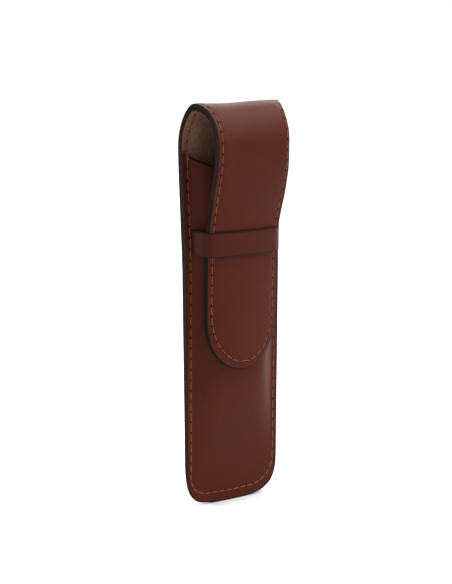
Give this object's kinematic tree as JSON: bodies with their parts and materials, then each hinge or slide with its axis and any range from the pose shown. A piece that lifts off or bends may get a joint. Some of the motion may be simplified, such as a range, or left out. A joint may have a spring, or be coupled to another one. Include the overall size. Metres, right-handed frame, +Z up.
{
  "type": "pen holder",
  "caption": "Slim upright leather pen case: lined back strip folding over as a tongued flap, moulded front pocket and keeper strap.",
  "frame": {"origin": "middle of the whole case's footprint, on the level of the bottom seam's edge", "axes": "+Z up along the case from the bottom seam to the crown, -Y out of the flap's side, +X across the width"},
  "size_m": [0.0412, 0.0246, 0.1657],
  "materials": {
    "smooth_leather": "smooth semi-gloss vegetable-tanned leather, reddish brown, dark painted edges",
    "strap_leather": "smooth semi-gloss leather, reddish brown, dark painted edges",
    "suede_lining": "napped suede, beige brown, matt",
    "thread": "waxed sewing thread, rust orange"
  },
  "bodies": {
    "case": {"back_leather": "smooth_leather", "back_lining": "suede_lining", "front_panel": "smooth_leather", "keeper_strap": "strap_leather", "seam_thread_back": "thread", "seam_thread_front": "thread", "crown_inner_thread_left": "thread", "crown_inner_thread_right": "thread", "mouth_tack_left": "thread", "mouth_tack_right": "thread"},
    "flap_upper": {"flap_upper_leather": "smooth_leather", "flap_upper_lining": "suede_lining", "flap_upper_outer_thread_left": "thread", "flap_upper_outer_thread_right": "thread", "flap_upper_inner_thread_left": "thread", "flap_upper_inner_thread_right": "thread"},
    "flap_lower": {"flap_lower_leather": "smooth_leather", "flap_lower_lining": "suede_lining", "flap_lower_outer_thread_left": "thread", "flap_lower_outer_thread_right": "thread", "flap_lower_inner_thread_left": "thread", "flap_lower_inner_thread_right": "thread"},
    "tongue": {"tongue_leather": "smooth_leather", "tongue_lining": "suede_lining", "tongue_outer_thread": "thread"}
  },
  "joints": [
    {"name": "flap_top_fold", "type": "hinge", "parent": "case", "child": "flap_upper", "pos_m": [0, -0.0012, 0.16265], "axis": [-1, 0, 0], "range_deg": [0, 55]},
    {"name": "flap_middle_fold", "type": "hinge", "parent": "flap_upper", "child": "flap_lower", "pos_m": [0, -0.00914, 0.14038], "axis": [-1, 0, 0], "range_deg": [-110, 0]},
    {"name": "flap_low_fold", "type": "hinge", "parent": "flap_lower", "child": "tongue", "pos_m": [0, -0.0012, 0.1181], "axis": [-1, 0, 0], "range_deg": [0, 55]}
  ],
  "couplings": [
    {"joint": "flap_middle_fold", "follows": "flap_top_fold", "ratio": -2},
    {"joint": "flap_low_fold", "follows": "flap_top_fold", "ratio": 1}
  ]
}
